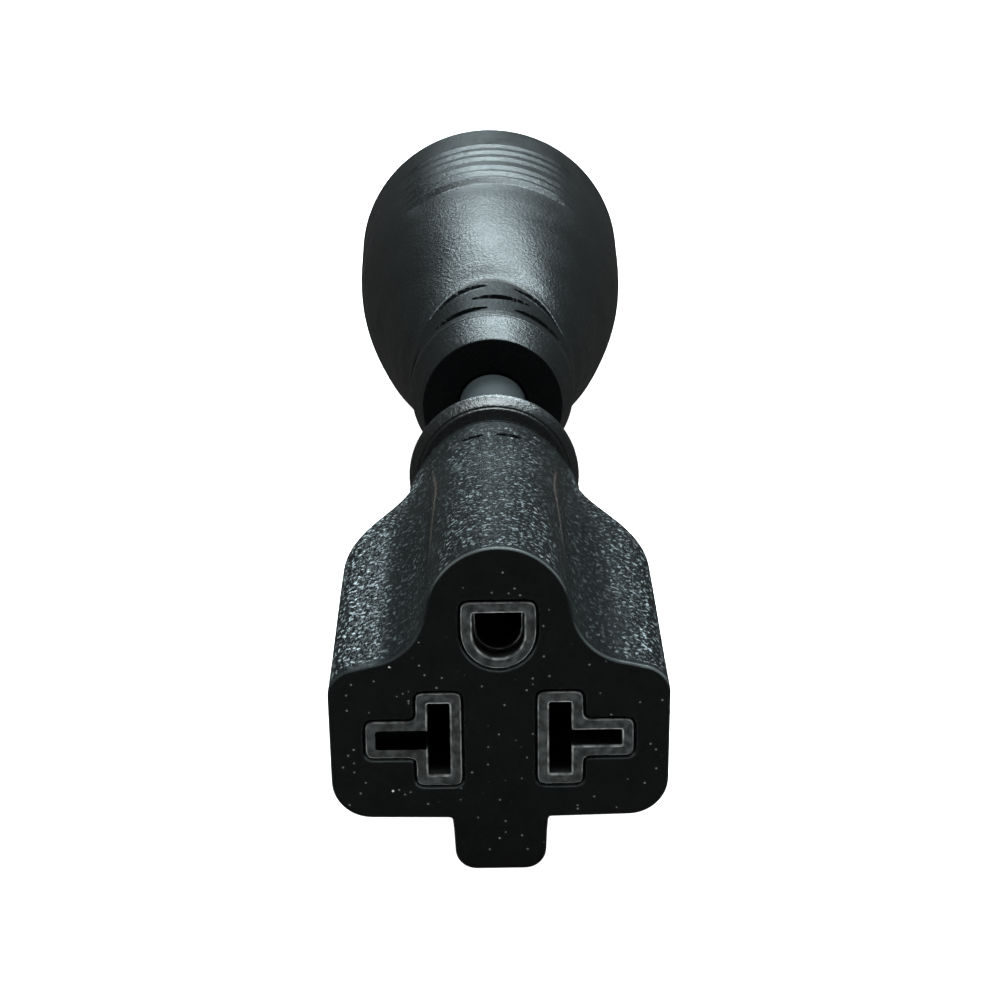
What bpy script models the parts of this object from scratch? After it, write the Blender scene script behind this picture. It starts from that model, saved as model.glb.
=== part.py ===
"""Dogbone power adapter: a T-slot cord connector on a short round cable, with a round travel-trailer plug.

The object lies along +Y. Its connector face looks along -Y, and its plug blades point along +Y.
Lengths along the object are written as distances from the connector face. The origin is below the
middle of the object, level with the lowest point of the round plug.
"""

import math

import bmesh
import bpy
from mathutils import Matrix, Vector

MM = 0.001

# Overall layout along the object, from the connector face
NECK_END = 68.7 * MM
COLLAR_START = 73.5 * MM
CONNECTOR_END = 78.0 * MM
PLUG_START = 107.0 * MM
PLUG_FACE = 204.0 * MM
BLADE_REACH = 18.3 * MM
GROUND_REACH = 21.0 * MM
LENGTH = PLUG_FACE + GROUND_REACH
MID = LENGTH / 2

# Round sections
RIM_R = 23.9 * MM
AXIS_Z = RIM_R
NECK_R = 10.2 * MM
NECK_EAR = 1.1 * MM
COLLAR_R = 11.55 * MM
GROOVE_R = 8.0 * MM
CABLE_R = 5.0 * MM
GAP = 0.3 * MM

# Connector face: the blade line lies below the cable axis
BLADE_DROP = 3.0 * MM
BLADE_Z = AXIS_Z - BLADE_DROP
SLOT_X = 6.37 * MM
SLOT_HALF_W = 1.17 * MM
SLOT_HALF_H = 4.1 * MM
ARM_END = 12.85 * MM
ARM_HALF_H = 0.9 * MM
BOSS_MARGIN = 1.2 * MM
GROUND_Z = 11.9 * MM
GROUND_HALF_W = 2.7 * MM
GROUND_TOP = 2.35 * MM
DOME_TOP = 21.5 * MM
FACE_WALL = 1.3 * MM
EDGE = 0.3 * MM

# Body taper
TAPER_START = 35.0 * MM
TAPER_END = 67.0 * MM
WIDENING = 0.014

# Insulating core of the connector
CORE_FRONT = FACE_WALL + GAP
CORE_BACK = 27.0 * MM
COVER_BACK = 30.0 * MM
CORE_HALF_W = 15.2 * MM
CORE_LOW = -6.9 * MM
CORE_HIGH = 6.4 * MM
TOWER_HALF_W = 5.0 * MM
TOWER_HIGH = 16.4 * MM
CORE_CORNER = 2.6 * MM
GROUND_ROOM = 3.6 * MM
CHAMBER_FRONT = 4.2 * MM
CHAMBER_NEAR = 4.3 * MM
CHAMBER_FAR = 13.9 * MM
CHAMBER_LOW = -5.3 * MM
CHAMBER_HIGH = 5.1 * MM

# Contacts of the connector
CONTACT_FRONT = 5.2 * MM
CONTACT_BASE = 16.0 * MM
BASE_T = 0.8 * MM
LEAF = 0.6 * MM
LEAF_HALF_H = 3.8 * MM
LEAF_SPLIT = 1.5 * MM
ARM_LEAF_START = SLOT_X + SLOT_HALF_W + 1.0 * MM
ARM_LEAF_END = ARM_END - 0.2 * MM
SLEEVE_R = 3.3 * MM
SLEEVE_BORE = 2.6 * MM
SLEEVE_SPLIT = 0.5 * MM
SLEEVE_SPLIT_END = 13.5 * MM
CRIMP_R = 1.9 * MM
CRIMP_BORE = 1.3 * MM
CRIMP_END = CORE_BACK - 0.8 * MM

# Inner mould of the connector
MOULD_TAIL_R = 7.2 * MM
MOULD_END = 54.2 * MM
THROAT_R = 4.7 * MM

# Cable
JACKET_START = 54.6 * MM
JACKET_STOP = 130.0 * MM
JACKET_WALL = 0.95 * MM
LAY_R = 2.12 * MM
WIRE_R = 1.7 * MM
COPPER_R = 1.0 * MM
BORE_R = 1.3 * MM
FILLER_R = 0.7 * MM
FILLER_LAY = 3.12 * MM
WIRE_SIDES = 2
FAN_START = 31.5 * MM
FAN_STOP = 52.5 * MM
THROAT_START = 49.0 * MM
PLUG_THROAT_END = 139.0 * MM
PLUG_FAN_START = 132.5 * MM
PLUG_FAN_STOP = 172.0 * MM

# Plug
# Rows of strain relief slits: distance, sweep forward at the sides, and the slits' angles from the top
SLIT_ROWS = (
    (117.8 * MM, 0.0, (30, 90, 150, 210, 270, 330)),
    (123.3 * MM, 1.5 * MM, (0, 180)),
    (129.3 * MM, 8.0 * MM, (30, 150, 210, 330)),
)
SLIT_W = 1.4 * MM
SLIT_FLOOR = 9.6 * MM
SLIT_SPAN = math.radians(38)
SLIT_TURN = math.radians(7)
RIB_ROWS = (167.5 * MM, 170.8 * MM, 174.3 * MM, 179.7 * MM, 184.4 * MM, 189.2 * MM)
RIB_H = 0.36 * MM
RIB_RISE = 1.5 * MM
RIB_FALL = 0.7 * MM
RIB_REACH = math.radians(43)
RIB_FADE = math.radians(11)
PLUG_SIDES = 48
INSERT_R = 17.5 * MM
INSERT_BACK = 192.0 * MM
PLUG_MOULD_START = 130.4 * MM
PLUG_MOULD_END = 189.0 * MM
BLADE_W = 12.7 * MM
BLADE_T = 1.6 * MM
BLADE_X = 9.5 * MM
BLADE_LOW = -4.5 * MM
PIN_R = 2.4 * MM
PIN_Z = 10.0 * MM
PLUG_CRIMP_START = 176.0 * MM
PLUG_CRIMP_DEPTH = 10.0 * MM

# Joint axes: the two bends of the exposed cable
BEND_UP_Y = CONNECTOR_END + (PLUG_START - CONNECTOR_END) * 0.25
BEND_SIDE_Y = CONNECTOR_END + (PLUG_START - CONNECTOR_END) * 0.75

TURN_STEPS = 40
MERGE = 0.00001


def clear_scene():
    for obj in list(bpy.data.objects):
        bpy.data.objects.remove(obj, do_unlink=True)


def collection(name):
    made = bpy.data.collections.new(name)
    bpy.context.scene.collection.children.link(made)
    return made


clear_scene()
PARTS = collection("power_adapter_dogbone")
CUTTERS = collection("cutters")
CUTTERS.hide_render = True


def material(name, colour, roughness, metallic=0.0):
    made = bpy.data.materials.new(name)
    made.use_nodes = True
    shader = made.node_tree.nodes["Principled BSDF"]
    shader.inputs["Base Color"].default_value = (*colour, 1.0)
    shader.inputs["Roughness"].default_value = roughness
    shader.inputs["Metallic"].default_value = metallic
    return made


def empty(name, place, parent=None):
    made = bpy.data.objects.new(name, None)
    made.location = Vector(place) - (parent.location if parent else Vector())
    made.parent = parent
    PARTS.objects.link(made)
    return made


CONNECTOR = empty("connector_end", (0, -MID, AXIS_Z))
CABLE = empty("cable", (0, BEND_UP_Y - MID, AXIS_Z))
PLUG = empty("plug_end", (0, BEND_SIDE_Y - MID, AXIS_Z))


def finish(obj, body, look):
    """Parents a piece, drawn around the cable axis at the connector face, to its body's empty."""
    obj.parent = body
    obj.location = Vector((0, -MID, AXIS_Z)) - body.location
    obj.data.materials.clear()
    obj.data.materials.append(look)
    PARTS.objects.link(obj)
    return obj


def mesh_object(name, bm):
    bmesh.ops.recalc_face_normals(bm, faces=bm.faces)
    data = bpy.data.meshes.new(name)
    bm.to_mesh(data)
    bm.free()
    data.shade_smooth()
    data.set_sharp_from_angle(angle=math.radians(35))
    return bpy.data.objects.new(name, data)


def loft(name, sections):
    """One closed solid through sections with the same number of points."""
    bm = bmesh.new()
    rings = [[bm.verts.new(point) for point in section] for section in sections]
    count = len(rings[0])
    for near, far in zip(rings, rings[1:]):
        for i in range(count):
            j = (i + 1) % count
            bm.faces.new((near[i], near[j], far[j], far[i]))
    bm.faces.new(rings[0])
    bm.faces.new(rings[-1])
    return mesh_object(name, bm)


def prism(name, outline, start, stop):
    """Extrudes an outline of (x, z) points along the object."""
    return loft(name, [[(x, y, z) for x, z in outline] for y in (start, stop)])


def box(name, low, high):
    bm = bmesh.new()
    bmesh.ops.create_cube(bm, size=1.0)
    size = Vector(high) - Vector(low)
    bmesh.ops.scale(bm, vec=size, verts=bm.verts)
    bmesh.ops.translate(bm, vec=(Vector(high) + Vector(low)) / 2, verts=bm.verts)
    return mesh_object(name, bm)


def rod(name, centre, radius, start, stop, sides=24):
    """A round rod along the object; centre is (x, z)."""
    bm = bmesh.new()
    depth = stop - start
    bmesh.ops.create_cone(bm, cap_ends=True, segments=sides, radius1=radius, radius2=radius, depth=depth)
    bmesh.ops.rotate(bm, matrix=Matrix.Rotation(-math.pi / 2, 3, "X"), verts=bm.verts)
    bmesh.ops.translate(bm, vec=(centre[0], (start + stop) / 2, centre[1]), verts=bm.verts)
    return mesh_object(name, bm)


def evaluated(obj):
    """The object with its modifiers applied, as a plain mesh object that takes its place."""
    if not obj.users_collection:
        CUTTERS.objects.link(obj)
    depsgraph = bpy.context.evaluated_depsgraph_get()
    data = bpy.data.meshes.new_from_object(obj.evaluated_get(depsgraph))
    name = obj.name
    place = obj.matrix_world.copy()
    bpy.data.objects.remove(obj, do_unlink=True)
    data.transform(place)
    return bpy.data.objects.new(name, data)


def combine(target, tools, operation):
    """Applies a Boolean of each tool to the target in turn."""
    for tool in tools:
        CUTTERS.objects.link(tool)
        tool.display_type = "WIRE"
        tool.hide_render = True
        step = target.modifiers.new(operation.lower(), "BOOLEAN")
        step.operation = operation
        step.object = tool
        target = evaluated(target)
        bpy.data.objects.remove(tool, do_unlink=True)
    return target


def cut(target, *tools):
    return combine(target, tools, "DIFFERENCE")


def join(target, *tools):
    return combine(target, tools, "UNION")


def turned(name, profile, steps=TURN_STEPS):
    """A solid of revolution about the cable axis; profile holds (radius, distance), far end first."""
    data = bpy.data.meshes.new(name)
    points = [(radius, 0.0, along) for radius, along in profile]
    data.from_pydata(points, [(i, i + 1) for i in range(len(points) - 1)], [])
    obj = bpy.data.objects.new(name, data)
    obj.rotation_euler = (-math.pi / 2, 0, 0)
    screw = obj.modifiers.new("turn", "SCREW")
    screw.steps = steps
    screw.render_steps = steps
    screw.use_merge_vertices = True
    screw.merge_threshold = MERGE
    screw.use_smooth_shade = True
    bpy.context.view_layer.update()
    made = evaluated(obj)
    made.data.set_sharp_from_angle(angle=math.radians(35))
    return made


def tube(name, route, radius, resolution=WIRE_SIDES):
    """A solid round wire along a list of points."""
    data = bpy.data.curves.new(name, "CURVE")
    data.dimensions = "3D"
    data.bevel_depth = radius
    data.bevel_resolution = resolution
    data.use_fill_caps = True
    spline = data.splines.new("POLY")
    spline.points.add(len(route) - 1)
    for point, place in zip(spline.points, route):
        point.co = (*place, 1.0)
    made = evaluated(bpy.data.objects.new(name, data))
    bm = bmesh.new()
    bm.from_mesh(made.data)
    bmesh.ops.remove_doubles(bm, verts=bm.verts, dist=MERGE)
    bpy.data.objects.remove(made, do_unlink=True)
    return mesh_object(name, bm)


def ease(t):
    t = min(max(t, 0.0), 1.0)
    return t * t * (3 - 2 * t)


def table(value, rows):
    """Straight-line lookup in rows of (place, value)."""
    for (a0, b0), (a1, b1) in zip(rows, rows[1:]):
        if value <= a1:
            return b0 + (b1 - b0) * max(value - a0, 0.0) / (a1 - a0)
    return rows[-1][1]


def arc(centre, radius, start, stop, count):
    """Points on a circle from one angle to another, in degrees."""
    angles = [math.radians(start + (stop - start) * i / count) for i in range(count + 1)]
    return [(centre[0] + radius * math.cos(a), centre[1] + radius * math.sin(a)) for a in angles]


def between(start, stop, count):
    """Points strictly between two points."""
    steps = [i / count for i in range(1, count)]
    return [tuple(a + (b - a) * t for a, b in zip(start, stop)) for t in steps]


def face_half():
    """The right half of the connector's outline from dome to tongue, in millimetres about the blade line."""
    dome = arc((0, 14.0), 7.5, 90, 5, 7)
    hollow = arc((14.3, 15.2), 6.75, 192, 262, 5)
    shoulder = arc((14.8, 5.0), 3.1, 80, 0, 4)
    side = between(shoulder[-1], (17.8, -4.9), 2)
    corner = arc((13.6, -4.9), 4.2, 0, -88, 4)
    floor = between(corner[-1], (5.1, -9.25), 2)
    tongue = [(5.1, -9.25), (4.95, -10.9)] + arc((2.6, -13.15), 2.25, 0, -90, 4)
    return dome + hollow + shoulder + side + corner + floor + tongue


def face_outline():
    """The whole outline about the cable axis, in metres, as an ordered loop."""
    right = [(x * MM, z * MM - BLADE_DROP) for x, z in face_half()]
    left = [(-x, z) for x, z in reversed(right) if x > MERGE]
    return right + left


# Degrees from the top on the face outline, and where the same line of the surface reaches the neck
NECK_TURN = ((0, 0), (32.7, 52), (67.6, 72), (76, 76), (270, 270))


def neck_angle(angle):
    """Where a line of the face outline reaches the neck; the ridge keeps its width all the way."""
    from_top = (math.degrees(angle) - 90 + 180) % 360 - 180
    return math.radians(90 + math.copysign(table(abs(from_top), NECK_TURN), from_top))


def neck_point(angle):
    """The neck is round, with a low ear on each side where the wings run out."""
    angle = neck_angle(angle)
    radius = NECK_R + NECK_EAR * max(math.cos(angle) ** 16, 0.0)
    return Vector((math.cos(angle), math.sin(angle))) * radius


def body_section(along, outline, inset=0.0):
    """The outline at a distance from the face: the dome slopes down and everything rounds into the neck."""
    round_off = ease((along - TAPER_START) / (TAPER_END - TAPER_START))
    widen = 1 + WIDENING * ease(along / TAPER_START)
    dome_base = 10.0 * MM - BLADE_DROP
    dome_full = DOME_TOP - BLADE_DROP
    dome_now = dome_full + (NECK_R - dome_full) * min(along / NECK_END, 1.0)
    squash = (dome_now - dome_base) / (dome_full - dome_base)
    section = []
    for x, z in outline:
        angle = math.atan2(z, x)
        if z > dome_base:
            z = dome_base + (z - dome_base) * squash
        shrink = 1 - inset / math.hypot(x, z)
        flat = Vector((x * widen, z)) * shrink
        point = flat.lerp(neck_point(angle), round_off)
        section.append((point.x, along, point.y))
    return section


def ring_section(along, radius, outline):
    angles = [neck_angle(math.atan2(z, x)) for x, z in outline]
    return [(radius * math.cos(a), along, radius * math.sin(a)) for a in angles]


def slot_outline(side, grow=0.0):
    """The T slot: an upright slot with an arm that points away from the middle, grown by a margin."""
    near = SLOT_X - SLOT_HALF_W - grow
    far = SLOT_X + SLOT_HALF_W + grow
    tall = SLOT_HALF_H + grow
    arm = ARM_HALF_H + grow
    end = ARM_END + grow
    loop = [(near, -tall), (far, -tall), (far, -arm), (end, -arm)]
    loop += [(end, arm), (far, arm), (far, tall), (near, tall)]
    return [(side * x, z - BLADE_DROP) for x, z in loop]


def ground_outline(grow=0.0, count=10):
    """The ground opening: flat on top, round below, grown by a margin."""
    half = GROUND_HALF_W + grow
    centre = GROUND_Z - BLADE_DROP
    top = centre + GROUND_TOP + grow
    bowl = arc((0, centre), half, 180, 360, count)
    return [(half, top), (-half, top)] + bowl


def core_outline(grow=0.0):
    """The insulating core: a wide block with a tower over its middle for the ground contact."""
    low = CORE_LOW - BLADE_DROP - grow
    high = CORE_HIGH - BLADE_DROP + grow
    wide = CORE_HALF_W + grow
    tower = TOWER_HALF_W + grow
    top = TOWER_HIGH - BLADE_DROP + grow
    soft = CORE_CORNER
    right = [(tower - soft, top), (tower, top - soft), (tower, high), (wide - soft, high)]
    right += [(wide, high - soft), (wide, low + soft), (wide - soft, low)]
    return right + [(-x, z) for x, z in reversed(right)]


# Materials ------------------------------------------------------------------------------------------

BLACK_PVC = material("black_pvc", (0.012, 0.014, 0.015), 0.55)
CORE_PLASTIC = material("core_plastic", (0.028, 0.03, 0.032), 0.6)
MOULD_PVC = material("inner_mould_pvc", (0.05, 0.05, 0.052), 0.6)
JACKET_PVC = material("jacket_pvc", (0.02, 0.024, 0.026), 0.5)
BLACK_WIRE = material("wire_black", (0.01, 0.01, 0.01), 0.4)
WHITE_WIRE = material("wire_white", (0.75, 0.74, 0.7), 0.4)
GREEN_WIRE = material("wire_green", (0.02, 0.3, 0.06), 0.4)
FILLER_PAPER = material("filler", (0.62, 0.56, 0.45), 0.85)
COPPER = material("copper", (0.8, 0.37, 0.2), 0.3, 1.0)
BRASS = material("brass", (0.82, 0.62, 0.3), 0.28, 1.0)

WIRES = {
    "hot": {"side": -1, "colour": "black", "look": BLACK_WIRE},
    "neutral": {"side": 1, "colour": "white", "look": WHITE_WIRE},
    "ground": {"side": 0, "colour": "green", "look": GREEN_WIRE},
}


def contact_place(side):
    """Where a wire meets its contact in the connector, as (x, z)."""
    return (side * SLOT_X, -BLADE_DROP) if side else (0.0, GROUND_Z - BLADE_DROP)


def blade_place(side):
    """Where a wire meets its blade in the plug, as (x, z)."""
    return (side * BLADE_X, BLADE_LOW) if side else (0.0, PIN_Z)


def lay_place(side):
    """Where a wire lies in the cable, as (x, z)."""
    angle = math.radians(90 if side == 0 else 270 + 60 * side)
    return (LAY_R * math.cos(angle), LAY_R * math.sin(angle))


def wire_route(side, start, stop):
    """The route of one wire from the connector's contact to the plug's blade."""
    near = Vector(contact_place(side))
    middle = Vector(lay_place(side))
    far = Vector(blade_place(side))
    bend = 8
    rows = [start]
    rows += [FAN_START + (FAN_STOP - FAN_START) * i / bend for i in range(bend + 1)]
    rows += [(FAN_STOP + PLUG_FAN_START) / 2]
    rows += [PLUG_FAN_START + (PLUG_FAN_STOP - PLUG_FAN_START) * i / bend for i in range(bend + 1)]
    rows += [stop]
    route = []
    for along in rows:
        if along < start or along > stop:
            continue
        place = near.lerp(middle, ease((along - FAN_START) / (FAN_STOP - FAN_START)))
        place = place.lerp(far, ease((along - PLUG_FAN_START) / (PLUG_FAN_STOP - PLUG_FAN_START)))
        route.append((place.x, along, place.y))
    return route


# Connector end --------------------------------------------------------------------------------------


def mould_outline():
    """The front of the connector's inner mould: a low block with a rounded tower, about the cable axis."""
    tower = arc((0, 7.4 * MM), 4.6 * MM, 90, 10, 4)
    shoulder = arc((9.0 * MM, 1.0 * MM), 2.0 * MM, 90, 0, 3)
    corner = arc((9.0 * MM, -6.0 * MM), 2.0 * MM, 0, -90, 3)
    right = tower + shoulder + between(shoulder[-1], corner[0], 2) + corner
    right += between(corner[-1], (0, corner[-1][1]), 2)
    return right + [(-x, z) for x, z in reversed(right) if x > MERGE]


def mould_sections(grow=0.0):
    """The inner mould of the connector: a block behind the core that tapers to a round tail."""
    tail_r = MOULD_TAIL_R + grow
    start = COVER_BACK + GAP - grow
    stop = MOULD_END + grow
    sections = []
    for along, share in ((start, 0.0), (start + 7 * MM, 0.15), (start + 14 * MM, 0.75), (stop, 1.0)):
        ring = []
        for x, z in mould_outline():
            angle = math.atan2(z, x)
            way = Vector((math.cos(angle), math.sin(angle)))
            point = (Vector((x, z)) + way * grow).lerp(way * tail_r, share)
            ring.append((point.x, along, point.y))
        sections.append(ring)
    return sections


def neck_slit(name, turn):
    """A short slit cut square to the body, just ahead of the neck."""
    half_len = 1.5 * MM
    half_w = 0.5 * MM
    centre = Vector((0, 62.4 * MM, 11.2 * MM))
    slit = box(name, (-half_len, -half_w, -1.1 * MM), (half_len, half_w, 1.2 * MM))
    slit.data.transform(Matrix.Rotation(turn, 4, "Y") @ Matrix.Translation(centre))
    return slit


def build_connector_overmold():
    outline = face_outline()
    straight = [0.0, EDGE, 12 * MM, 25 * MM, TAPER_START]
    curved = [TAPER_START + (NECK_END - TAPER_START) * i / 7 for i in range(1, 8)]
    sections = [body_section(along, outline, EDGE if along == 0 else 0.0) for along in straight + curved]
    collar = (
        (NECK_END, GROOVE_R), (COLLAR_START, GROOVE_R), (COLLAR_START, COLLAR_R - 0.95 * MM),
        (COLLAR_START + 1.7 * MM, COLLAR_R), (CONNECTOR_END - 1.4 * MM, COLLAR_R),
        (CONNECTOR_END - 0.4 * MM, COLLAR_R - 0.7 * MM), (CONNECTOR_END, COLLAR_R - 1.6 * MM),
    )
    sections += [ring_section(along, radius, outline) for along, radius in collar]
    body = loft("connector_overmold", sections)
    pocket = prism("pocket", core_outline(GAP), FACE_WALL, COVER_BACK + 0.5 * GAP)
    mould_pocket = loft("mould_pocket", mould_sections(GAP))
    bore = rod("bore", (0, 0), CABLE_R + GAP, MOULD_END - 2 * MM, CONNECTOR_END + 5 * MM, 32)
    windows = [
        prism("window", loop, -5 * MM, FACE_WALL + 1 * MM)
        for loop in (
            slot_outline(-1, BOSS_MARGIN + GAP),
            slot_outline(1, BOSS_MARGIN + GAP),
            ground_outline(BOSS_MARGIN + GAP),
        )
    ]
    slits = [neck_slit("slit", math.radians(turn)) for turn in (-16, 11)]
    body = cut(body, pocket, mould_pocket, bore, *windows, *slits)
    finish(body, CONNECTOR, BLACK_PVC)


def build_connector_core():
    core = prism("connector_core", core_outline(), CORE_FRONT, CORE_BACK)
    bosses = [
        prism("boss", loop, 0.0, CORE_FRONT + 1 * MM)
        for loop in (slot_outline(-1, BOSS_MARGIN), slot_outline(1, BOSS_MARGIN), ground_outline(BOSS_MARGIN))
    ]
    core = join(core, *bosses)
    cuts = []
    for side in (-1, 1):
        cuts.append(prism("slot", slot_outline(side), -1 * MM, CHAMBER_FRONT + 1 * MM))
        ends = sorted((side * CHAMBER_NEAR, side * CHAMBER_FAR))
        low = (ends[0], CHAMBER_FRONT, CHAMBER_LOW - BLADE_DROP)
        high = (ends[1], CORE_BACK + 1 * MM, CHAMBER_HIGH - BLADE_DROP)
        cuts.append(box("chamber", low, high))
    cuts.append(prism("ground_hole", ground_outline(), -1 * MM, CHAMBER_FRONT + 1 * MM))
    ground_mid = GROUND_Z - BLADE_DROP
    ground_low = (-GROUND_ROOM, CHAMBER_FRONT, ground_mid - GROUND_ROOM)
    ground_high = (GROUND_ROOM, CORE_BACK + 1 * MM, ground_mid + GROUND_ROOM)
    cuts.append(box("ground_chamber", ground_low, ground_high))
    finish(cut(core, *cuts), CONNECTOR, CORE_PLASTIC)


def build_core_cover():
    cover = prism("connector_core_cover", core_outline(), CORE_BACK + GAP, COVER_BACK)
    holes = [
        rod("wire_hole", contact_place(spec["side"]), WIRE_R + 0.3 * MM, CORE_BACK, COVER_BACK + 1 * MM)
        for spec in WIRES.values()
    ]
    finish(cut(cover, *holes), CONNECTOR, CORE_PLASTIC)


def crimp(place, start, stop):
    """The barrel that holds the end of a wire."""
    return rod("crimp", place, CRIMP_R, start, stop, 20)


def with_crimp(contact, place):
    """Adds the wire barrel behind the base of a contact."""
    contact = join(contact, crimp(place, CONTACT_BASE + BASE_T / 2, CRIMP_END))
    return cut(contact, rod("bore", place, CRIMP_BORE, CONTACT_BASE + 2.0 * MM, CORE_BACK, 16))


def blade_contact(name, side):
    """A female contact that grips an upright blade or a level one."""
    x_near = SLOT_X - SLOT_HALF_W
    x_far = SLOT_X + SLOT_HALF_W
    low = CONTACT_FRONT
    high = CONTACT_BASE + BASE_T / 2
    leaves = [
        ((x_near - LEAF, low, -LEAF_HALF_H), (x_near, high, LEAF_HALF_H)),
        ((x_far, low, LEAF_SPLIT), (x_far + LEAF, high, LEAF_HALF_H)),
        ((x_far, low, -LEAF_HALF_H), (x_far + LEAF, high, -LEAF_SPLIT)),
        ((ARM_LEAF_START, low, ARM_HALF_H), (ARM_LEAF_END, high, ARM_HALF_H + LEAF)),
        ((ARM_LEAF_START, low, -ARM_HALF_H - LEAF), (ARM_LEAF_END, high, -ARM_HALF_H)),
    ]
    base = ((x_near - LEAF, CONTACT_BASE, -LEAF_HALF_H), (ARM_LEAF_END, CONTACT_BASE + BASE_T, LEAF_HALF_H))

    def plate(span):
        (x0, y0, z0), (x1, y1, z1) = span
        ends = sorted((side * x0, side * x1))
        return box(name, (ends[0], y0, z0 - BLADE_DROP), (ends[1], y1, z1 - BLADE_DROP))

    contact = join(plate(base), *[plate(leaf) for leaf in leaves])
    finish(with_crimp(contact, contact_place(side)), CONNECTOR, BRASS)


def build_ground_contact():
    """A sleeve split into two springs, for a round or half-round ground pin."""
    place = contact_place(0)
    sleeve = rod("contact_ground", place, SLEEVE_R, CONTACT_FRONT, CONTACT_BASE + BASE_T, 28)
    bore = rod("bore", place, SLEEVE_BORE, CONTACT_FRONT - 1 * MM, CONTACT_BASE, 28)
    low = (-SLEEVE_R - 1 * MM, CONTACT_FRONT - 1 * MM, place[1] - SLEEVE_SPLIT)
    high = (SLEEVE_R + 1 * MM, SLEEVE_SPLIT_END, place[1] + SLEEVE_SPLIT)
    sleeve = cut(sleeve, bore, box("split", low, high))
    finish(with_crimp(sleeve, place), CONNECTOR, BRASS)


def channels(start, stop, clearance):
    """Cutters for the three wires' channels in an inner mould."""
    return [
        tube("channel", wire_route(spec["side"], start, stop), WIRE_R + clearance)
        for spec in WIRES.values()
    ]


def build_connector_mould():
    mould = loft("connector_inner_mould", mould_sections())
    throat = rod("throat", (0, 0), THROAT_R, THROAT_START, MOULD_END + 1 * MM)
    mould = cut(mould, throat, *channels(COVER_BACK - 1 * MM, THROAT_START + 1.5 * MM, GAP))
    finish(mould, CONNECTOR, MOULD_PVC)


# Cable ----------------------------------------------------------------------------------------------


def build_jacket():
    inner = CABLE_R - JACKET_WALL
    outer = rod("cable_jacket", (0, 0), CABLE_R, JACKET_START, JACKET_STOP, 40)
    hollow = rod("hollow", (0, 0), inner, JACKET_START - 1 * MM, JACKET_STOP + 1 * MM, 32)
    finish(cut(outer, hollow), CABLE, JACKET_PVC)


def build_wires():
    copper_start = CONTACT_BASE + 2.6 * MM
    copper_stop = PLUG_CRIMP_START + PLUG_CRIMP_DEPTH - 1 * MM
    skin_start = CORE_BACK + 0.6 * MM
    skin_stop = PLUG_CRIMP_START - 0.6 * MM
    for name, spec in WIRES.items():
        side = spec["side"]
        skin = tube(f"insulation_{spec['colour']}", wire_route(side, skin_start, skin_stop), WIRE_R)
        bore = tube("bore", wire_route(side, skin_start - 1 * MM, skin_stop + 1 * MM), BORE_R)
        finish(cut(skin, bore), CABLE, spec["look"])
        strands = tube(f"conductor_{name}", wire_route(side, copper_start, copper_stop), COPPER_R)
        finish(strands, CABLE, COPPER)


def build_fillers():
    """Three filler cords that fill the outer valleys between the wires."""
    for number, turn in enumerate((30, 150, 270), start=1):
        angle = math.radians(turn)
        place = (FILLER_LAY * math.cos(angle), FILLER_LAY * math.sin(angle))
        cord = rod(f"cable_filler_{number}", place, FILLER_R, JACKET_START + 1 * MM, JACKET_STOP - 1 * MM, 10)
        finish(cord, CABLE, FILLER_PAPER)


# Plug end -------------------------------------------------------------------------------------------

# Radii against distance from the connector face, in millimetres: the strain relief's neck, then the bulb
PLUG_NECK = ((107.0, 10.4), (113.5, 12.25), (114.0, 12.3), (134.0, 13.15))
BULB = (
    (145.0, 17.85), (148.0, 18.65), (152.0, 19.45), (160.0, 20.85), (165.0, 21.65), (170.0, 22.3),
    (175.0, 22.8), (184.0, 23.3), (192.0, 23.55), (203.0, 23.9),
)
# The bulb meets the neck farther forward at the sides than above and below
JOINT_TOP = 132.0
JOINT_SWEEP = 11.0
SHOULDER = ((0.0, 0.0), (0.1, 0.06), (0.3, 0.33), (0.54, 0.58), (0.77, 0.80), (1.0, 1.0))
PLUG_STATIONS = (
    113.5, 114.0, 119.0, 121.5, 124.0, 126.5, 129.0, 131.0, 133.0, 135.0, 137.5, 140.0, 142.5, 145.0,
    148.0, 152.0, 156.0, 160.0, 164.0, 194.0, 199.0,
)


def plug_radius(along, from_top):
    """The radius of the plug at a distance from the connector face and an angle from the top."""
    y = along / MM
    if y >= BULB[0][0]:
        return table(y, BULB) * MM
    joint = JOINT_TOP - JOINT_SWEEP * math.sin(from_top) ** 2
    if y <= joint:
        return table(y, PLUG_NECK) * MM
    base = table(joint, PLUG_NECK)
    share = table((y - joint) / (BULB[0][0] - joint), SHOULDER)
    return (base + share * (BULB[0][1] - base)) * MM


def plug_section(along, rise=0.0):
    """A section of the plug; rise is the height of a grip rib, which fades out towards the sides."""
    section = []
    for step in range(PLUG_SIDES):
        from_top = 2 * math.pi * step / PLUG_SIDES
        side = math.asin(min(abs(math.sin(from_top)), 1.0))
        radius = plug_radius(along, from_top) + rise * ease((RIB_REACH - side) / RIB_FADE)
        section.append((radius * math.sin(from_top), along, radius * math.cos(from_top)))
    return section


def round_section(radius, along):
    turns = [2 * math.pi * step / PLUG_SIDES for step in range(PLUG_SIDES)]
    return [(radius * math.sin(turn), along, radius * math.cos(turn)) for turn in turns]


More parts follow.
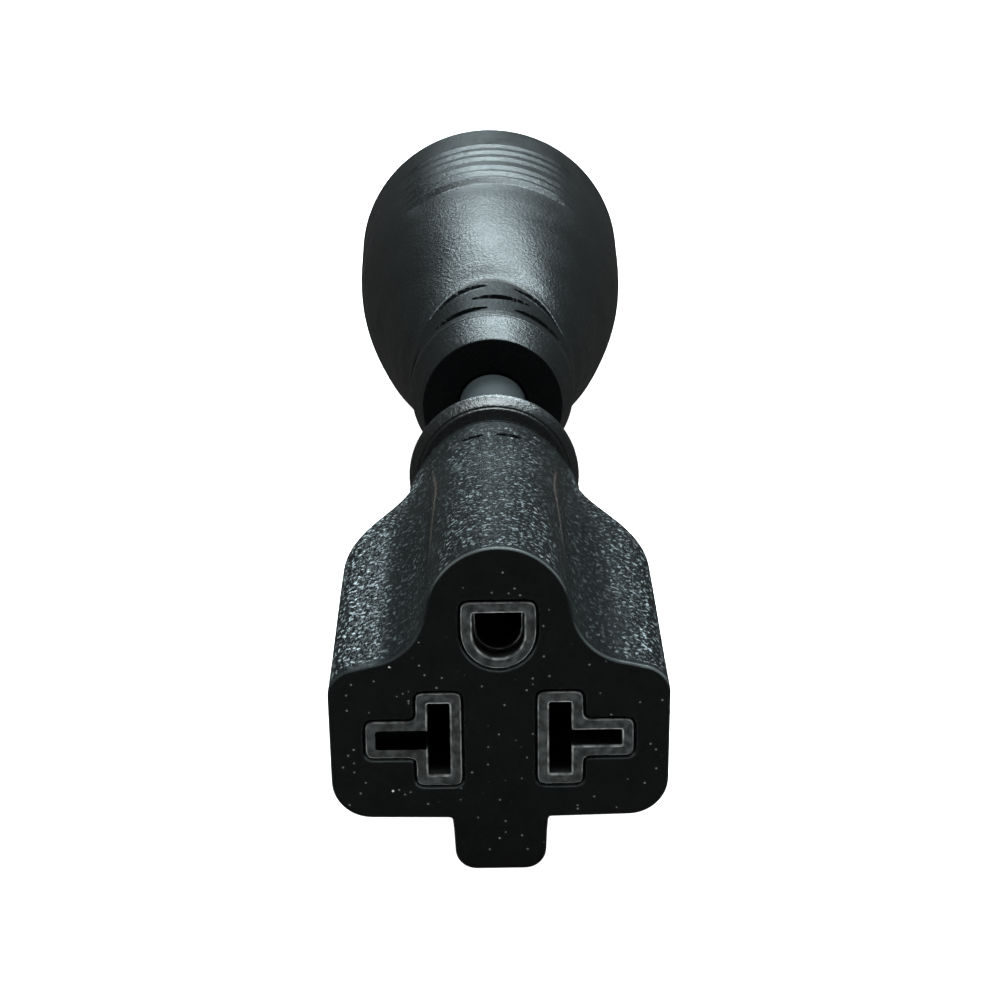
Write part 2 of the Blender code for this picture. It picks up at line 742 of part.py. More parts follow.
def plug_sections():
    """The outer side of the plug from its tail to its face, with the grip ribs above and below."""
    rows = {station * MM: 0.0 for station in PLUG_STATIONS}
    for row in RIB_ROWS:
        rows.update({row - RIB_RISE: 0.0, row: RIB_H, row + RIB_FALL: 0.0})
    sections = [round_section(10.25 * MM, PLUG_START), round_section(10.5 * MM, PLUG_START + 0.3 * MM)]
    sections += [plug_section(along, rows[along]) for along in sorted(rows)]
    corner = arc((RIM_R - 1.5 * MM, PLUG_FACE - 1.5 * MM), 1.5 * MM, 0, 90, 4)
    return sections + [round_section(radius, along) for radius, along in corner]


def plug_mould_profile(grow=0.0):
    start = PLUG_MOULD_START - grow
    stop = PLUG_MOULD_END + grow
    return [
        (0, stop), (15.0 * MM + grow, stop), (15.4 * MM + grow, 176 * MM), (13.0 * MM + grow, 158 * MM),
        (8.2 * MM + grow, 140 * MM), (6.6 * MM + grow, start), (0, start),
    ]


def slit_cutter(row, sweep, turn):
    """One slit of the strain relief: a sector of a ring that sweeps forward away from the top."""
    outer = 18 * MM
    half = SLIT_SPAN / 2
    count = 6
    angles = [turn - half + SLIT_SPAN * i / count for i in range(count + 1)]
    rim = [(outer * math.sin(a), outer * math.cos(a)) for a in angles]
    floor = [(SLIT_FLOOR * math.sin(a), SLIT_FLOOR * math.cos(a)) for a in reversed(angles)]
    slit = prism("slit", rim + floor, row - SLIT_W / 2, row + SLIT_W / 2)
    for vertex in slit.data.vertices:
        vertex.co.y -= sweep * math.sin(math.atan2(vertex.co.x, vertex.co.z)) ** 2
    return slit


def build_plug_overmold():
    outer = loft("plug_overmold", plug_sections())
    seat = rod("seat", (0, 0), INSERT_R + GAP, PLUG_MOULD_END - 1 * MM, PLUG_FACE + 5 * MM, TURN_STEPS)
    hollow = turned("hollow", plug_mould_profile(GAP), 32)
    bore = rod("bore", (0, 0), CABLE_R + GAP, PLUG_START - 5 * MM, PLUG_MOULD_START + 1 * MM, 32)
    slits = [
        slit_cutter(row, sweep, math.radians(turn) + SLIT_TURN)
        for row, sweep, turns in SLIT_ROWS
        for turn in turns
    ]
    finish(cut(outer, seat, hollow, bore, *slits), PLUG, BLACK_PVC)


def blade_bar(name, side, width, thick, start, stop):
    """A flat bar turned 45 degrees, so that the two blades form a V below the ground pin."""
    bar = box(name, (-width / 2, start, -thick / 2), (width / 2, stop, thick / 2))
    place = Vector((side * BLADE_X, 0, BLADE_LOW))
    turn = Matrix.Rotation(math.radians(-45 * side), 4, "Y")
    bar.data.transform(Matrix.Translation(place) @ turn)
    return bar


def build_face_insert():
    insert = rod("plug_face_insert", (0, 0), INSERT_R, INSERT_BACK, PLUG_FACE, TURN_STEPS)
    room = 0.5 * MM
    cuts = [
        blade_bar("slot", side, BLADE_W + room, BLADE_T + room, INSERT_BACK - 1 * MM, PLUG_FACE + 1 * MM)
        for side in (-1, 1)
    ]
    cuts.append(rod("pin_hole", (0, PIN_Z), PIN_R + room / 2, INSERT_BACK - 1 * MM, PLUG_FACE + 1 * MM))
    finish(cut(insert, *cuts), PLUG, CORE_PLASTIC)


def build_plug_mould():
    mould = turned("plug_inner_mould", plug_mould_profile(), 32)
    cuts = [rod("throat", (0, 0), THROAT_R, PLUG_MOULD_START - 1 * MM, PLUG_THROAT_END)]
    cuts += channels(PLUG_THROAT_END - 1.5 * MM, PLUG_CRIMP_START, GAP)
    for spec in WIRES.values():
        place = blade_place(spec["side"])
        room = rod("room", place, CRIMP_R + GAP, PLUG_CRIMP_START - 1 * MM, PLUG_MOULD_END + 1 * MM)
        cuts.append(room)
    finish(cut(mould, *cuts), PLUG, MOULD_PVC)


def with_plug_crimp(blade, place):
    """Adds the wire barrel behind a blade or pin."""
    blade = join(blade, crimp(place, PLUG_CRIMP_START, PLUG_MOULD_END + 2 * MM))
    stop = PLUG_CRIMP_START + PLUG_CRIMP_DEPTH
    return cut(blade, rod("bore", place, CRIMP_BORE, PLUG_CRIMP_START - 1 * MM, stop, 16))


def build_blades():
    for name, side in (("blade_hot", -1), ("blade_neutral", 1)):
        bar = blade_bar(name, side, BLADE_W, BLADE_T, PLUG_MOULD_END + GAP, PLUG_FACE + BLADE_REACH)
        chamfer = bar.modifiers.new("edges", "BEVEL")
        chamfer.width = 0.35 * MM
        chamfer.segments = 2
        finish(with_plug_crimp(evaluated(bar), blade_place(side)), PLUG, BRASS)
    tip = PLUG_FACE + GROUND_REACH
    place = blade_place(0)
    profile = [(0, tip), (PIN_R * 0.5, tip - 0.2 * MM), (PIN_R * 0.85, tip - 1.0 * MM)]
    profile += [(PIN_R, tip - PIN_R), (PIN_R, PLUG_MOULD_END + GAP), (0, PLUG_MOULD_END + GAP)]
    pin = turned("ground_pin", profile, 24)
    pin.data.transform(Matrix.Translation((place[0], 0, place[1])))
    finish(with_plug_crimp(pin, place), PLUG, BRASS)


build_connector_overmold()
build_connector_core()
build_core_cover()
blade_contact("contact_hot", -1)
blade_contact("contact_neutral", 1)
build_ground_contact()
build_connector_mould()
build_jacket()
build_wires()
build_fillers()
build_plug_overmold()
build_face_insert()
build_plug_mould()
build_blades()
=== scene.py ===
"""Looks of the dogbone power adapter: fine outer mouldings, materials, studio light and camera."""

import math

import bmesh
import bpy
import numpy as np
from mathutils import Matrix, Vector


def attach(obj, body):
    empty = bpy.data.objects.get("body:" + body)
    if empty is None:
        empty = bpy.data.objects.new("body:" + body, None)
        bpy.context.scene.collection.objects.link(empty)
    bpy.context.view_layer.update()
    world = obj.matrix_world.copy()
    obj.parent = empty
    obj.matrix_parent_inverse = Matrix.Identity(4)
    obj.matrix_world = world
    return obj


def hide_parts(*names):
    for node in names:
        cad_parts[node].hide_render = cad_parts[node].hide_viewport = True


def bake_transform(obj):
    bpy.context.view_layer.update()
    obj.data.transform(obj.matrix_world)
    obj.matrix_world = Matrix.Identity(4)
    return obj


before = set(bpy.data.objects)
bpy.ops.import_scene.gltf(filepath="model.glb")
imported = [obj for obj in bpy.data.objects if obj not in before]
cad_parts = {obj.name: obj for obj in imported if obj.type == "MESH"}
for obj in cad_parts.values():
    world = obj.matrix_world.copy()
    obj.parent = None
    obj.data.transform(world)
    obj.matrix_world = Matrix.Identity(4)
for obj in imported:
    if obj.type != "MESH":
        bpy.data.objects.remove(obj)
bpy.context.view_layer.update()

MM = 0.001

# Layout along the object, as distances from the connector face, and round sections, as in the CAD
MID = 112.5 * MM
AXIS_Z = 23.9 * MM
NECK_END = 68.7 * MM
CONNECTOR_END = 78.0 * MM
PLUG_START = 107.0 * MM
CABLE_MID = (CONNECTOR_END + PLUG_START) / 2
BLADE_DROP = 3.0 * MM
NECK_R = 10.2 * MM
NECK_EAR = 1.1 * MM
CABLE_R = 5.0 * MM
CABLE_WALL = 0.95 * MM
GAP = 0.3 * MM
FACE_WALL = 1.3 * MM
TAPER_START = 35.0 * MM
TAPER_END = 67.0 * MM
WIDENING = 0.014
DOME_TOP = 21.5 * MM
FACE_ROUND = 0.45 * MM

# Points round a section: the connector, the plug and the cable
AROUND = 440
PLUG_AROUND = 400
CABLE_AROUND = 96


# Mesh helpers ---------------------------------------------------------------------------------------


def place(points):
    """Moves points from the cable axis at the connector face to the object's own frame."""
    return np.asarray(points, float) + np.array([0.0, -MID, AXIS_Z])


def mesh_object(name, verts, faces):
    data = bpy.data.meshes.new(name)
    data.from_pydata([tuple(v) for v in verts], [], faces)
    bm = bmesh.new()
    bm.from_mesh(data)
    bmesh.ops.recalc_face_normals(bm, faces=bm.faces)
    bm.to_mesh(data)
    bm.free()
    obj = bpy.data.objects.new(name, data)
    bpy.context.scene.collection.objects.link(obj)
    return obj


def smooth(obj, angle=35):
    obj.data.shade_smooth()
    obj.data.set_sharp_from_angle(angle=math.radians(angle))
    return obj


def loft(name, rings, closed=False):
    """A solid through rings of points; a closed one joins its last ring to its first."""
    rings = np.asarray(rings, float)
    rows, count, _ = rings.shape
    i = np.arange(count)
    j = (i + 1) % count
    faces = []
    for row in range(rows if closed else rows - 1):
        near = row * count
        far = (row + 1) % rows * count
        faces += np.stack((near + i, near + j, far + j, far + i), axis=1).tolist()
    if not closed:
        faces.append(list(range(count)))
        faces.append(list(range((rows - 1) * count, rows * count)))
    return mesh_object(name, place(rings.reshape(-1, 3)), faces)


def prism_rings(outline, sections):
    """Rings of an outline of (x, z) points, one for each (distance, growth)."""
    return [[(x, along, z) for x, z in offset(outline, -grow)] for along, grow in sections]


def combine(target, tools, operation):
    """Applies a Boolean of each tool to the target in turn, and removes the tools."""
    for tool in tools:
        step = target.modifiers.new(operation.lower(), "BOOLEAN")
        step.operation = operation
        step.solver = "MANIFOLD"
        step.object = tool
        depsgraph = bpy.context.evaluated_depsgraph_get()
        data = bpy.data.meshes.new_from_object(target.evaluated_get(depsgraph))
        target.modifiers.clear()
        target.data = data
    for tool in tools:
        bpy.data.objects.remove(tool, do_unlink=True)
    return target


def cut(target, *tools):
    """Subtracts the tools, joined into one first because they overlap."""
    return combine(target, [combine(tools[0], tools[1:], "UNION")], "DIFFERENCE")


def arc(centre, radius, start, stop, count):
    """Points on a circle from one angle to another, in degrees."""
    angles = np.radians(np.linspace(start, stop, count + 1))
    return [(centre[0] + radius * math.cos(a), centre[1] + radius * math.sin(a)) for a in angles]


def resample(points, count):
    """Evenly spaced points on a closed outline."""
    points = np.asarray(points, float)
    loop = np.vstack((points, points[:1]))
    length = np.concatenate(([0.0], np.cumsum(np.hypot(*np.diff(loop, axis=0).T))))
    at = np.linspace(0, length[-1], count, endpoint=False)
    return np.stack([np.interp(at, length, loop[:, k]) for k in (0, 1)], axis=1)


def soften(points, width):
    """Rounds an evenly spaced outline's corners over about that width."""
    points = np.asarray(points, float)
    step = np.hypot(*(points[1] - points[0]))
    reach = max(int(3 * width / step), 1)
    weights = np.exp(-0.5 * (np.arange(-reach, reach + 1) * step / width) ** 2)
    weights /= weights.sum()
    return sum(w * np.roll(points, k, axis=0) for k, w in zip(range(-reach, reach + 1), weights))


def offset(points, inset):
    """Moves an outline inward by inset along its own normals."""
    points = np.asarray(points, float)
    along = np.roll(points, -1, axis=0) - np.roll(points, 1, axis=0)
    normal = np.stack((along[:, 1], -along[:, 0]), axis=1)
    normal /= np.maximum(np.hypot(*normal.T), 1e-12)[:, None]
    area = np.sum(points[:, 0] * np.roll(points[:, 1], -1) - np.roll(points[:, 0], -1) * points[:, 1])
    return points - normal * inset * (1 if area > 0 else -1)


def ease(t):
    t = np.clip(t, 0.0, 1.0)
    return t * t * (3 - 2 * t)


def ring_points(radius, along, angles):
    radius = np.broadcast_to(radius, angles.shape)
    along = np.broadcast_to(along, angles.shape)
    return np.stack((radius * np.cos(angles), along, radius * np.sin(angles)), axis=1)


def hump(value, centre, width):
    """1 at the centre, falling smoothly to 0 a width away."""
    return ease(1 - np.abs(value - centre) / width)


def point_attribute(obj, name, values):
    layer = obj.data.attributes.new(name, "FLOAT", "POINT")
    layer.data.foreach_set("value", np.asarray(values, np.float32))


# Connector end --------------------------------------------------------------------------------------


def face_outline():
    """The connector's outline about the cable axis: dome, wings, floor and tongue."""
    right = arc((0, 14.0), 7.5, 90, 5, 40)
    right += arc((14.3, 15.2), 6.75, 192, 262, 30)
    right += arc((14.8, 5.0), 3.1, 80, 0, 18)
    right += arc((13.6, -4.9), 4.2, 0, -88, 24)
    right += [(5.1, -9.25), (4.95, -10.9)] + arc((2.6, -13.15), 2.25, 0, -90, 12)
    left = [(-x, z) for x, z in reversed(right) if x > MM]
    outline = np.array(right + left) * MM
    outline[:, 1] -= BLADE_DROP
    return soften(resample(outline, AROUND), 0.22 * MM)


OUTLINE = face_outline()
OUTLINE_ANGLE = np.arctan2(OUTLINE[:, 1], OUTLINE[:, 0])

# The crease beside the ridge, in degrees from the top, at the face and at the neck
CREASE_AT = 32.7
CREASE_AT_NECK = 52
# The ridge keeps its width down to the neck, so its sides reach the neck lower than they leave the face
UPPER = np.abs(np.degrees(OUTLINE_ANGLE) - 90)
NECK_TURN = np.interp(UPPER, (0, CREASE_AT, 67.6, 76, 180, 270), (0, CREASE_AT_NECK, 72, 76, 180, 270))
NECK_ANGLE = np.radians(90 + np.sign(np.degrees(OUTLINE_ANGLE) - 90) * NECK_TURN)
BEAD = 0.13 * MM
BEAD_WIDTH = 2.2


def body_ring(along, inset=0.0):
    """The connector's section at a distance from its face."""
    base = offset(OUTLINE, inset) if inset else OUTLINE
    round_off = ease((along - TAPER_START) / (TAPER_END - TAPER_START))
    dome_base = 10.0 * MM - BLADE_DROP
    dome_full = DOME_TOP - BLADE_DROP
    dome_now = dome_full + (NECK_R - dome_full) * min(along / NECK_END, 1.0)
    lift = (dome_now - dome_base) / (dome_full - dome_base)
    x = base[:, 0] * (1 + WIDENING * ease(along / TAPER_START))
    z = np.where(base[:, 1] > dome_base, dome_base + (base[:, 1] - dome_base) * lift, base[:, 1])
    ears = np.maximum(np.cos(NECK_ANGLE), 0) ** 16 + np.maximum(-np.cos(NECK_ANGLE), 0) ** 16
    neck = NECK_R + NECK_EAR * ears
    x = x + (neck * np.cos(NECK_ANGLE) - x) * round_off
    z = z + (neck * np.sin(NECK_ANGLE) - z) * round_off
    bead = BEAD * hump(UPPER, CREASE_AT, BEAD_WIDTH) * ease((along - 4 * MM) / (30 * MM))
    size = np.hypot(x, z)
    return np.stack((x * (1 + bead / size), np.full(len(x), along), z * (1 + bead / size)), axis=1)


def slot_outline(side, grow=0.0):
    """The T slot with its arm pointing outward, about the cable axis."""
    near, far, tall, arm, end = 5.2, 7.54, 4.1, 0.9, 12.85
    middle = (near + far) / 2
    loop = [(near, -tall), (far, -tall), (far, -arm), (end, -arm)]
    loop += [(end, arm), (far, arm), (far, tall), (near, tall)]
    out = []
    for x, z in loop:
        out.append(((x + (grow if x > middle else -grow)) * side, z + (grow if z > 0 else -grow)))
    return np.array(out) * MM - np.array([0, BLADE_DROP])


def ground_outline(grow=0.0):
    """The ground opening, flat above and round below."""
    centre, width, flat = 11.9, 5.4, 2.35
    half = width / 2 + grow
    top = centre + flat + grow
    bowl = arc((0, centre), half, 180, 360, 40)
    return np.array([(half, top), (-half, top)] + bowl) * MM - np.array([0, BLADE_DROP])


def rounded(outline, radius, count=240):
    return soften(resample(outline, count), radius * 0.55)


BOSS_WALL = 1.2
BOSS_OUTLINES = [rounded(slot_outline(side, BOSS_WALL), 1.0 * MM, 300) for side in (-1, 1)]
BOSS_OUTLINES.append(rounded(ground_outline(BOSS_WALL), 1.2 * MM))
HOLE_OUTLINES = [rounded(slot_outline(side), 0.2 * MM, 300) for side in (-1, 1)]
HOLE_OUTLINES.append(rounded(ground_outline(), 0.35 * MM))


def core_outline(grow=0.0):
    """The core behind the face: a wide block with a tower for the ground contact."""
    low, high, wide, tower, top, soft = -9.9, 3.4, 15.2, 5.0, 13.4, 2.6
    low, high, wide, tower, top = low - grow, high + grow, wide + grow, tower + grow, top + grow
    right = [(tower - soft, top), (tower, top - soft), (tower, high), (wide - soft, high)]
    right += [(wide, high - soft), (wide, low + soft), (wide - soft, low)]
    return np.array(right + [(-x, z) for x, z in reversed(right)]) * MM


# The groove and the collar behind the neck, as (radius, distance) in mm
COLLAR_PROFILE = [(9.3, 68.75), (8.5, 68.8), (8.05, 69.1), (8.0, 69.6), (8.0, 72.8), (8.1, 73.25)]
COLLAR_PROFILE += [(8.6, 73.5), (9.9, 73.52), (10.12, 73.56), (10.24, 73.66), (10.3, 73.84), (10.38, 73.86)]
COLLAR_PROFILE += [(10.5, 73.84), (10.62, 73.92), (10.85, 74.22), (11.1, 74.56), (11.32, 74.9)]
COLLAR_PROFILE += [(11.46, 75.2), (11.53, 75.5)]
COLLAR_PROFILE += arc((10.2, 75.5), 1.35, 8, 70, 8)
COLLAR_PROFILE += [(10.3, 77.2), (10.0, 77.6), (9.6, 77.9), (9.0, 78.0), (7.0, 78.0)]

# The band at the neck's end and the rounding of its edge
NECK_BAND = 0.75 * MM
NECK_ROUND = 0.3 * MM
# The fine line in front of the neck's end band, as (distance from the band, depth) in mm
NECK_LINE = ((0.06, 0.28), (0.24, 0.3), (0.3, 0.0))
# The face's windows around the bosses flare at the face, as (distance, growth) in mm
WINDOW_FLARE = ((-5, 0.14), (-0.001, 0.14), (0.05, 0.05), (0.16, 0.0), (2.3, 0.0))
BORE_ENDS = (52.2, 83)
# The short slits ahead of the neck, as (degrees from the top, half length in mm)
NECK_SLITS = ((-16, 1.45), (11, 1.65))
NECK_SLIT_AT = 62.4


def shrink(ring, depth):
    """Moves a ring's points towards the cable axis."""
    ring = ring.copy()
    size = np.hypot(ring[:, 0], ring[:, 2])[:, None]
    ring[:, (0, 2)] *= (size - depth) / size
    return ring


def scaled(rows):
    return [(along * MM, grow * MM) for along, grow in rows]


def build_connector_overmold():
    """The grained skin from the face to the neck, then the groove and the collar."""
    rings = []
    for t in np.radians(np.linspace(0, 90, 7)):
        rings.append(body_ring(FACE_ROUND * (1 - math.cos(t)), FACE_ROUND * (1 - math.sin(t))))
    band = NECK_END - NECK_BAND
    rings += [body_ring(along) for along in np.linspace(0.8 * MM, band, 176)]
    rings += [shrink(body_ring(band + along), depth) for along, depth in scaled(NECK_LINE)]
    for t in np.radians(np.linspace(0, 90, 6)):
        ring = shrink(body_ring(NECK_END), NECK_ROUND * (1 - math.cos(t)))
        ring[:, 1] = NECK_END - NECK_ROUND * (1 - math.sin(t))
        rings.append(ring)
    rings += [ring_points(radius, along, NECK_ANGLE) for radius, along in np.array(COLLAR_PROFILE) * MM]
    body = loft("connector_overmold_skin", rings)
    flare = scaled(WINDOW_FLARE)
    tools = [loft("window", prism_rings(offset(loop, -GAP), flare)) for loop in BOSS_OUTLINES]
    tools.append(loft("pocket", prism_rings(core_outline(0.3), ((FACE_WALL, 0.0), (30.15 * MM, 0.0)))))
    tools.append(loft("mould", mould_rings()))
    turn = np.linspace(0, 2 * math.pi, CABLE_AROUND, endpoint=False)
    tools.append(loft("bore", [ring_points(CABLE_R + GAP, y * MM, turn) for y in BORE_ENDS]))
    tools += [neck_slit(turn, size) for turn, size in NECK_SLITS]
    cut(body, *tools)
    return smooth(body, 40)


def mould_rings():
    """The hollow for the inner mould: a block behind the core that tapers to a round tail."""
    tower = arc((0, 7.4), 4.6, 90, 10, 4)
    shoulder = arc((9.0, 1.0), 2.0, 90, 0, 3)
    corner = arc((9.0, -6.0), 2.0, 0, -90, 3)
    right = tower + shoulder + corner
    outline = resample(np.array(right + [(-x, z) for x, z in reversed(right) if x > MM]) * MM, 48)
    rings = []
    for y, share in ((30.0, 0.0), (37.3, 0.15), (44.3, 0.75), (54.5, 1.0)):
        angle = np.arctan2(outline[:, 1], outline[:, 0])
        way = np.stack((np.cos(angle), np.sin(angle)), axis=1)
        flat = (outline + way * GAP) * (1 - share) + way * 7.5 * MM * share
        rings.append([(x, y * MM, z) for x, z in flat])
    return rings


def neck_slit(turn, size):
    """A short lens-shaped slit cut square to the body, just ahead of the neck."""
    rings = []
    for depth, grow in ((9.9, 0.0), (10.7, 0.55), (12.4, 1.15)):
        ring = []
        for t in np.linspace(0, 2 * math.pi, 24, endpoint=False):
            across = size * (1.0 + 0.25 * grow) * math.cos(t) * MM
            along = (NECK_SLIT_AT + 0.62 * size * (0.6 + 0.45 * grow) * math.sin(t)) * MM
            angle = math.radians(90 - turn) - across / (depth * MM)
            ring.append((depth * MM * math.cos(angle), along, depth * MM * math.sin(angle)))
        rings.append(ring)
    return loft("slit", rings)


# Rounded edges of the bosses and their holes, and the ground hole's ledge, as (distance, growth) in mm
BOSS_EDGE = ((0.012, -0.28), (0.06, -0.12), (0.17, -0.02), (0.3, 0.0), (2.7, 0.0))
HOLE_EDGE = ((-2, 0.22), (0.0, 0.22), (0.07, 0.07), (0.25, 0.0))
HOLE_END = ((5.2, 0.0),)
LEDGE = ((2.0, 0.0), (2.0, -0.2), (2.1, -0.28), (5.2, -0.28))
# The contacts' chambers, as opposite corners in mm about the cable axis
CHAMBERS = (
    ((4.3, 4.2, -8.3), (13.9, 28, 2.1)),
    ((-13.9, 4.2, -8.3), (-4.3, 28, 2.1)),
    ((-3.6, 4.2, 5.3), (3.6, 28, 12.5)),
)


def build_core():
    """The insulating core with its flush bosses, the T slots and the ground opening."""
    block = prism_rings(core_outline(), ((FACE_WALL + GAP, 0.0), (27.0 * MM, 0.0)))
    block = loft("connector_core_body", block)
    combine(block, [loft("boss", prism_rings(loop, scaled(BOSS_EDGE))) for loop in BOSS_OUTLINES], "UNION")
    slot = scaled(HOLE_EDGE + HOLE_END)
    ground = scaled(HOLE_EDGE + LEDGE)
    tools = [loft("hole", prism_rings(loop, rows)) for loop, rows in zip(HOLE_OUTLINES, (slot, slot, ground))]
    for low, high in CHAMBERS:
        (x0, y0, z0), (x1, y1, z1) = (np.array(low) * MM, np.array(high) * MM)
        ends = [[(x0, y, z0), (x1, y, z0), (x1, y, z1), (x0, y, z1)] for y in (y0, y1)]
        tools.append(loft("chamber", ends))
    cut(block, *tools)
    return smooth(block, 40)


# Plug end -------------------------------------------------------------------------------------------

# Radii in mm at distances in mm: the strain relief's neck, then the bulb behind it
PLUG_NECK = ((107.0, 10.4), (113.5, 12.25), (114.0, 12.3), (134.0, 13.15))
BULB = (
    (145.0, 17.85), (148.0, 18.65), (152.0, 19.45), (160.0, 20.85), (165.0, 21.65),
    (170.0, 22.3), (175.0, 22.8), (184.0, 23.3), (192.0, 23.55), (203.0, 23.9),
)
# The bulb meets the neck farther forward at the sides than above and below
JOINT_TOP = 132.0
JOINT_SWEEP = 11.0
SHOULDER = ((0.0, 0.0), (0.1, 0.06), (0.3, 0.33), (0.54, 0.58), (0.77, 0.80), (1.0, 1.0))
RIB_ROWS = (167.5, 170.8, 174.3, 179.7, 184.4, 189.2)
RIB_HEIGHT = 0.36
RIB_RISE = 1.5
RIB_FALL = 1.15
RIB_HOLLOW = 0.3
RIB_HOLLOW_LENGTH = 8.5
RIB_REACH = 43
RIB_FADE = 11
# Rows of strain relief slits: distance, sweep forward at the sides, turn of the first slit, reach in degrees
SLIT_ROWS = ((117.8, 0.0, 30, 180), (123.3, 1.5, 0, 22), (129.3, 8.0, 30, 52))
SLIT_TURN = 7
SLIT_HALF = 0.98
SLIT_REACH = 20.5
SLIT_ZONE = (115.5, 133.0)
# The fine line round the cone's end, and the groove along the joint, as depth and width in mm
CONE_END = 113.95
CONE_LINE = (0.16, 0.16)
JOINT_GROOVE = (0.28, 0.24)
GROOVE_REACH_RIGHT = 76
GROOVE_REACH_LEFT = 50
# Profiles as (radius, distance) in mm: the end round the cable, and the recess for insert and inner mould
PLUG_MOUTH = [(5.3, 107.3), (5.34, 106.98), (5.6, 106.92), (5.85, 107.0), (6.3, 107.05), (10.15, 107.05)]
PLUG_MOUTH += [(10.3, 107.09), (10.41, 107.2), (10.52, 107.6)]
PLUG_RECESS = [(17.95, 204.0), (17.8, 203.85), (17.8, 189.6), (15.3, 189.3), (15.7, 176.0)]
PLUG_RECESS += [(13.3, 158.0), (8.5, 140.0), (6.9, 130.1), (5.3, 130.1)]


def table(y, rows):
    at, value = np.array(rows).T
    return np.interp(y, at, value)


def raw_plug_radius(y, from_top):
    joint = JOINT_TOP - JOINT_SWEEP * np.sin(from_top) ** 2
    base = table(joint, PLUG_NECK)
    share = table((y - joint) / (BULB[0][0] - joint), SHOULDER)
    swell = base + share * (BULB[0][1] - base)
    return np.where(y < joint, table(y, PLUG_NECK), np.where(y < BULB[0][0], swell, table(y, BULB)))


def plug_radius(y, from_top):
    """The plug's smooth radius in mm; from_top is the angle from the top."""
    spread = 0.8 * ease((y - 116) / 2) + 2.2 * ease((y - 136) / 8) * ease((199 - y) / 4)
    spread = min(spread, 203 - y)
    return sum(raw_plug_radius(y + spread * k, from_top) for k in (-1, -0.5, 0, 0.5, 1)) / 5


def rib_height(y):
    """The grip ribs: each rises towards the plug's face and drops off behind its crest.

    The surface dips into a shallow hollow in front of the first.
    """
    height = 0.0
    for row in RIB_ROWS:
        rise = min(max(1 + (y - row) / RIB_RISE, 0.0), 1.0)
        fall = min(max(1 - (y - row) / RIB_FALL, 0.0), 1.0)
        height += RIB_HEIGHT * rise * fall
    foot = RIB_ROWS[0] - RIB_RISE
    if y < RIB_ROWS[0]:
        hollow = ease((y - foot + RIB_HOLLOW_LENGTH) / RIB_HOLLOW_LENGTH)
        height -= RIB_HOLLOW * hollow * min((RIB_ROWS[0] - y) / RIB_RISE, 1.0)
    return height


def slit_depth(y, angle):
    """How far the surface dips into the strain relief's slits, in mm."""
    depth = np.zeros_like(angle)
    turned = np.degrees(angle) - SLIT_TURN
    turned = (turned + 180) % 360 - 180
    side = 90 - np.abs(np.abs(turned) - 90)
    for row, sweep, first, reach in SLIT_ROWS:
        turn = (turned - first) / 60
        across = (turn - np.round(turn)) * 60
        share = np.clip(1 - (across / SLIT_REACH) ** 2, 0, 1) * (side < reach)
        gap = np.abs(y - row + sweep * np.sin(angle) ** 2)
        half = SLIT_HALF * np.sqrt(share)
        inside = ease((half - gap) / 0.14 + 0.5) * (share > 0.02)
        depth = np.maximum(depth, inside * (1.0 + 2.8 * np.sqrt(share)))
        lip = np.exp(-((gap - half - 0.3) / 0.3) ** 2) * share
        depth = depth - 0.14 * lip * (inside < 0.5)
    return depth


def build_plug_overmold():
    """The plug's skin: strain relief, bulb with grip ribs, and the hollow inside."""
    turn = np.linspace(0, 2 * math.pi, PLUG_AROUND, endpoint=False)
    from_top = np.pi / 2 - turn
    from_top = (from_top + np.pi) % (2 * np.pi) - np.pi
    side = np.degrees(np.pi / 2 - np.abs(np.abs(from_top) - np.pi / 2))
    rib_share = ease((RIB_REACH - side) / RIB_FADE)
    groove_reach = np.where(np.sin(from_top) > 0, GROOVE_REACH_RIGHT, GROOVE_REACH_LEFT)
    groove_share = ease((groove_reach - side) / 4)
    # Closer rings where the line, the slits and the ribs need them
    stations = np.concatenate((
        np.arange(108.2, 113.2, 0.3), np.arange(113.2, 116.0, 0.1), np.arange(116.0, 133.6, 0.11),
        np.arange(133.6, 165.0, 0.4), np.arange(165.0, 191.0, 0.16), np.arange(191.0, 202.4, 0.4),
    ))
    rings = [ring_points(radius * MM, y * MM, turn) for radius, y in PLUG_MOUTH]
    for y in stations:
        radius = plug_radius(y, from_top)
        radius += rib_height(y) * rib_share
        radius -= CONE_LINE[0] * math.exp(-((y - CONE_END) / CONE_LINE[1]) ** 2)
        past_joint = y - JOINT_TOP - 0.2 + JOINT_SWEEP * np.sin(from_top) ** 2
        radius -= JOINT_GROOVE[0] * np.exp(-(past_joint / JOINT_GROOVE[1]) ** 2) * groove_share
        if SLIT_ZONE[0] < y < SLIT_ZONE[1]:
            radius -= slit_depth(y, from_top)
        rings.append(ring_points(radius * MM, y * MM, turn))
    corner = arc((22.4, 202.5), 1.5, 0, 90, 10)
    rings += [ring_points(radius * MM, y * MM, turn) for radius, y in corner + PLUG_RECESS]
    return smooth(loft("plug_overmold_skin", rings, closed=True), 50)


# Cable ----------------------------------------------------------------------------------------------


def jacket_half(name, start, stop):
    """A length of the jacket, a tube with rings close enough to bend."""
    turn = np.linspace(0, 2 * math.pi, CABLE_AROUND, endpoint=False)
    rows = np.linspace(start, stop, 90)
    rings = [ring_points(CABLE_R, y, turn) for y in rows]
    rings += [ring_points(CABLE_R - CABLE_WALL, y, turn) for y in rows[::-1]]
    return smooth(loft(name, rings, closed=True), 50)


